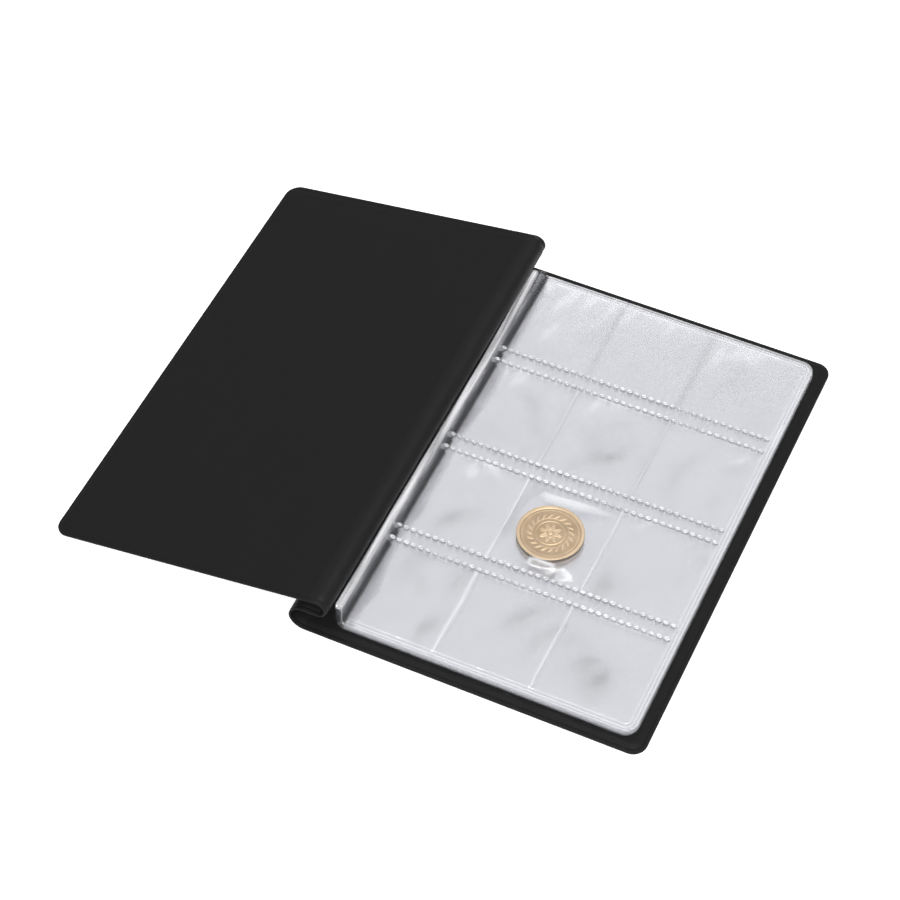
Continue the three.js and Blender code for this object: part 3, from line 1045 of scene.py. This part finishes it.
# The third number of each ring is painted shade: darker skirt and heart, a white cap.
top_bead = bead_template("top bead", 14, [
    (0.42, -0.30, 0.8), (0.50, 0.0, 0.8), (0.47, 0.45, 0.55), (0.40, 0.85, 0.05),
    (0.32, 1.0, 0.0), (0.21, 0.85, 0.05), (0.12, 0.60, 0.4), (0.05, 0.50, 0.5)], bead_film)
low_bead = bead_template("low bead", 8, [
    (0.40, -0.3, 0.5), (0.50, 0.3, 0.4), (0.32, 0.9, 0.0), (0.12, 0.6, 0.0)], low_bead_film)

# %% Bead rows by Geometry Nodes


def bead_tree():
    """Line in, beads out: resampled by pitch, turned, slightly uneven, made real."""
    tree = bpy.data.node_groups.new("weld beads", "GeometryNodeTree")
    face = tree.interface
    face.new_socket("Geometry", in_out="INPUT", socket_type="NodeSocketGeometry")
    for name, kind in (("Pitch", "Float"), ("Bead", "Object"), ("Length", "Float"),
                       ("Width", "Float"), ("Height", "Float"), ("Unevenness", "Float"),
                       ("Seed", "Int"), ("Material", "Material")):
        face.new_socket(name, in_out="INPUT", socket_type="NodeSocket" + kind)
    face.new_socket("Geometry", in_out="OUTPUT", socket_type="NodeSocketGeometry")
    start, end = tree.nodes.new("NodeGroupInput"), tree.nodes.new("NodeGroupOutput")
    given = {socket.name: Value(tree, socket) for socket in start.outputs if socket.name}
    line = add_node(tree, "GeometryNodeMeshToCurve", out="Curve", Mesh=given["Geometry"])
    steps = add_node(tree, "GeometryNodeResampleCurve", {"mode": "LENGTH"}, out="Curve",
                     Curve=line, Length=given["Pitch"])
    heading = add_node(tree, "GeometryNodeInputTangent", out="Tangent")
    turn = add_node(tree, "FunctionNodeAlignRotationToVector", {"axis": "X"},
                    out="Rotation", Vector=heading)
    bead = add_node(tree, "GeometryNodeObjectInfo", out="Geometry", Object=given["Bead"])
    size = add_node(tree, "ShaderNodeCombineXYZ", X=given["Length"], Y=given["Width"],
                    Z=given["Height"])
    vary = tree.nodes.new("FunctionNodeRandomValue")
    vary.data_type = "FLOAT"
    plug(tree, vary.inputs[2], 1.0 - given["Unevenness"])
    plug(tree, vary.inputs[3], 1.0)
    plug(tree, vary.inputs["Seed"], given["Seed"])
    scaled = add_node(tree, "ShaderNodeVectorMath", {"operation": "SCALE"}, Vector=size,
                      Scale=Value(tree, vary.outputs[1]))
    placed = add_node(tree, "GeometryNodeInstanceOnPoints", out="Instances", Points=steps,
                      Instance=bead, Rotation=turn, Scale=scaled)
    real = add_node(tree, "GeometryNodeRealizeInstances", Geometry=placed)
    painted = add_node(tree, "GeometryNodeSetMaterial", Geometry=real,
                       Material=given["Material"])
    plug(tree, end.inputs["Geometry"], painted)
    return tree


def grown(name, base, tree, **inputs):
    """Runs a tree on an object, keeps the result as a plain mesh and drops the rest."""
    modifier = base.modifiers.new("tree", "NODES")
    modifier.node_group = tree
    for item in tree.interface.items_tree:
        if item.in_out == "INPUT" and item.name in inputs:
            modifier[item.identifier] = inputs[item.name]
    base.update_tag()
    shown = base.evaluated_get(bpy.context.evaluated_depsgraph_get())
    mesh = bpy.data.meshes.new_from_object(shown)
    base.modifiers.clear()
    bpy.data.objects.remove(base)
    mesh.name = name
    piece = bpy.data.objects.new(name, mesh)
    scene.collection.objects.link(piece)
    return piece


beads = bead_tree()
for number in range(1, LEAVES + 1):
    points, edges = [], []
    shift_x, shift_y = leaf_shift(number)
    flat_z = FIRST_LEAF_Z - LEAF_PITCH * (number - 1) + FRONT_LIFT + FILM
    margin_x, margin_z, _, _ = margin_line(number, np.linspace(0.62, 0.97, 8))
    height = 0.55 if number == 1 else 0.16
    lift = 0.02 if number == 1 else -0.10
    for row in range(ROWS - 1):
        band_top = row_tops[row] - pocket_height
        for y in (band_top - 0.25, band_top - BAND + 0.25):
            line = [(x, y, z + FILM + 0.02) for x, z in zip(margin_x, margin_z)]
            line += [(x + shift_x * float(smooth_step(3, 12, x)), y + shift_y, flat_z + lift)
                     for x in np.arange(MARGIN_X + 1.2, LEAF_RIGHT - 2.4, 2.0)]
            first = len(points)
            points.extend(line)
            edges.extend((first + i, first + i + 1) for i in range(len(line) - 1))
    line_mesh = bpy.data.meshes.new("bead lines")
    line_mesh.from_pydata([(x * MM, y * MM, z * MM) for x, y, z in points], edges, [])
    lines = bpy.data.objects.new("bead lines", line_mesh)
    scene.collection.objects.link(lines)
    rows_of_beads = grown(
        f"leaf_{number:02d}_weld_beads", lines, beads, Pitch=BEAD_PITCH * MM,
        Bead=top_bead if number == 1 else low_bead, Length=BEAD_LENGTH, Width=BEAD_WIDTH,
        Height=height, Unevenness=0.18, Seed=number,
        Material=bead_film if number == 1 else low_bead_film)
    rows_of_beads.data.polygons.foreach_set(
        "use_smooth", [True] * len(rows_of_beads.data.polygons))
    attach(rows_of_beads, f"leaf_{number:02d}")
    if number == 1:
        print("top leaf beads:", len(rows_of_beads.data.polygons), "faces")
for template in (top_bead, low_bead):
    bpy.data.objects.remove(template)

# %% [markdown]
# ## Binding bar
# The margins of all ten leaves are melted together into one clear bar that stands
# beside the hinge. Its section is a soft box with long ribs drawn by the tool, and the
# height wanders a little along its length. Its whiteness is partly the melted plastic
# and partly painted highlight: a bright streak along it, with fainter streaks beside it.

# %% Binding bar
bar_low, bar_high = node_box("page_binding")
section = []
SECTION_POINTS = 44
bar_middle = (bar_low + bar_high) / 2
bar_half = (bar_high - bar_low) / 2
for step in range(SECTION_POINTS):
    turn = 2 * math.pi * step / SECTION_POINTS
    x = math.copysign(abs(math.cos(turn)) ** 0.45, math.cos(turn))
    z = math.copysign(abs(math.sin(turn)) ** 0.45, math.sin(turn))
    section.append((x, z))
section = np.array(section)
BAR_TOP_TRIM = 5.5               # the far end of the bar is cut back behind the cover
bar_length = 2 * bar_half[1] - BAR_TOP_TRIM
stations = np.concatenate([[0, 0.05, 0.15, 0.35, 0.7, 1.2], np.arange(2.2, bar_length - 2, 1.6),
                           bar_length - np.array([1.2, 0.7, 0.35, 0.15, 0.05, 0])])
bar_points, bar_faces, white_and_painted_streaks = [], [], []
for station in stations:
    y = station - bar_half[1]
    end = min(station, bar_length - station)
    round_end = math.sqrt(max(0.0, 1 - (1 - min(end / 1.2, 1)) ** 2)) * 0.8 + 0.2
    wander = 0.06 * math.sin(y / 7.1) + 0.05 * math.sin(y / 2.9 + 1.3)
    lean = -0.7 * float(smooth_step(25, 72, y))
    for x, z in section:
        rib = 0.07 * math.cos(x * 9.5) * (z > 0.5) + 0.03 * math.sin(x * 21 + y / 11)
        bar_points.append((bar_middle[0] + lean
                           + x * bar_half[0] * round_end * (0.97 + 0.2 * wander),
                           y, bar_middle[2] + z * bar_half[2] * round_end * 0.94
                           + (rib + wander * 0.6) * (z > 0)))
        # A bright streak of painted highlight runs along the bar, on the melted plastic's
        # whiteness.
        middle = 0.28 + 0.16 * math.sin(y / 21)
        white_and_painted_streak = (0.30 + 0.75 * math.exp(-((x - middle) / 0.26) ** 2)
                  + 0.16 * math.sin(x * 15 + y / 9) + 0.12 * math.sin(y / 4.7 + x * 3))
        white_and_painted_streaks.append(min(max(white_and_painted_streak, 0.05), 1.0))
for station in range(len(stations) - 1):
    for step in range(SECTION_POINTS):
        after = (step + 1) % SECTION_POINTS
        low, high = station * SECTION_POINTS, (station + 1) * SECTION_POINTS
        bar_faces.append((low + step, high + step, high + after, low + after))
bar_faces.append(tuple(range(SECTION_POINTS)))
bar_faces.append(tuple(range((len(stations) - 1) * SECTION_POINTS,
                             len(stations) * SECTION_POINTS))[::-1])
bar = mesh_piece("clear_binding_bar", np.array(bar_points), bar_faces, bar_film,
                 weld=white_and_painted_streaks)
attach(bar, "album_base")
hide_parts("page_binding")
print("binding bar:", len(bar_faces), "faces")

# %% [markdown]
# ## Coin
# A struck coin is a low landscape: a raised rim, a ring of beads, and a design that
# stands about a tenth of a millimetre high. This design is a plain rosette inside a
# wreath of leaves and stands for no real coin. The height of every point is worked
# out first, and the same height later colours the metal, because handling brightens
# what stands proud and leaves the field darker.

# %% Coin shape
RIM_WIDTH, RELIEF = 0.95, 0.12
radii = np.concatenate([np.linspace(0.0, coin_radius - 0.25, 110)[1:],
                        coin_radius - np.array([0.18, 0.10, 0.04, 0.0])])
angles = np.linspace(0, 2 * math.pi, 361)[:-1]
ring_r, ring_a = np.meshgrid(radii, angles, indexing="ij")


def coin_relief(r, a):
    """Height of the design from 0, the field, to 1, the rim."""
    rim = smooth_step(coin_radius - RIM_WIDTH - 0.25, coin_radius - RIM_WIDTH, r)
    bead_ring = ridge(r, coin_radius - 1.75, 0.22) * (0.5 + 0.5 * np.cos(a * 72)) * 0.8
    petal_reach = 2.9 + 0.75 * np.cos(a * 8)
    petals = (1 - smooth_step(petal_reach - 0.3, petal_reach, r)) * smooth_step(0.8, 1.2, r)
    veins = 0.45 * np.exp(-(np.sin(a * 4) / 0.16) ** 2) * petals
    heart = 1 - smooth_step(0.55, 0.85, r)
    inner_ring = ridge(r, 4.35, 0.16) * 0.75
    leaf_turn = (a * 20 / (2 * math.pi) + r * 0.35) % 1 - 0.5
    leaf_shape = ridge(leaf_turn, 0, 0.26) * ridge(r, 6.25, 0.95)
    wreath = smooth_step(0.28, 0.6, leaf_shape) * 0.75
    stem = ridge(r, 5.55, 0.14) * 0.5
    return np.clip(np.maximum.reduce([
        rim, bead_ring, petals * 0.85 - veins, heart, inner_ring, wreath, stem]), 0, 1)


relief = coin_relief(ring_r, ring_a)
rolled = np.sqrt(np.clip(1 - ((ring_r - (coin_radius - 0.18)) / 0.18).clip(0, 1) ** 2, 0, 1))
face_height = -RELIEF * (1 - relief) - 0.18 * (1 - rolled)
cos_a, sin_a = np.cos(ring_a), np.sin(ring_a)
upper = np.stack([coin_centre[0] + ring_r * cos_a, coin_centre[1] + ring_r * sin_a,
                  coin_high[2] + face_height], -1)
lower = np.stack([coin_centre[0] + ring_r * cos_a, coin_centre[1] + ring_r * sin_a,
                  coin_low[2] - face_height], -1)
ring_count, angle_count = ring_r.shape
index = np.arange(ring_count * angle_count).reshape(ring_count, angle_count)
after = np.roll(index, -1, axis=1)
under = ring_count * angle_count
a, b, c, d = index[:-1], index[1:], after[1:], after[:-1]
quads = np.stack([a, b, c, d], -1).reshape(-1, 4)
side = np.stack([index[-1], index[-1] + under, after[-1] + under, after[-1]], -1)
coin_points = np.concatenate([upper.reshape(-1, 3), lower.reshape(-1, 3),
                              [(*coin_centre[:2], coin_high[2])],
                              [(*coin_centre[:2], coin_low[2])]])
top_pole, low_pole = 2 * under, 2 * under + 1
fans = [(top_pole, i, j) for i, j in zip(index[0].tolist(), after[0].tolist())]
fans += [(low_pole, j + under, i + under) for i, j in zip(index[0].tolist(), after[0].tolist())]
coin_faces = quads.tolist() + (quads[:, ::-1] + under).tolist() + side.tolist() + fans

# %% Brass
brass = Finish("struck brass")
raised = brass.attribute("relief")
patina = brass.noise(330.0, 4.0, 0.6)
rubbed = brass.ramp(brass.noise(120.0, 3.0), 0.35, 0.7)
bright = (raised * 0.55 + rubbed * 0.25 + patina * 0.25).clamped()
# The coin's edge is painted dark: painted shade on its side.
painted_edge_shade = (0.10, 0.065, 0.035, 1)
brass_material = brass.set(
    Base_Color=brass.mix(
        brass.attribute("skirt"),
        brass.mix(bright, (0.32, 0.215, 0.11, 1), (0.76, 0.57, 0.36, 1)), painted_edge_shade),
    Metallic=0.90, Roughness=0.42 - raised * 0.08 + patina * 0.08,
    Normal=brass.bump(patina, 0.2, 0.00008))
coin_relief_values = np.concatenate([relief.ravel(), relief.ravel(), [1.0, 1.0]])
# The outermost ring marks the edge that takes the painted shade.
skirt = np.zeros_like(relief)
skirt[-1] = 1
coin = mesh_piece("struck_coin", coin_points, coin_faces, brass_material,
                  relief=coin_relief_values,
                  skirt=np.concatenate([skirt.ravel(), skirt.ravel(), [0.0, 0.0]]))
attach(coin, "coin")
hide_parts("coin")
print("coin:", len(coin_faces), "faces")
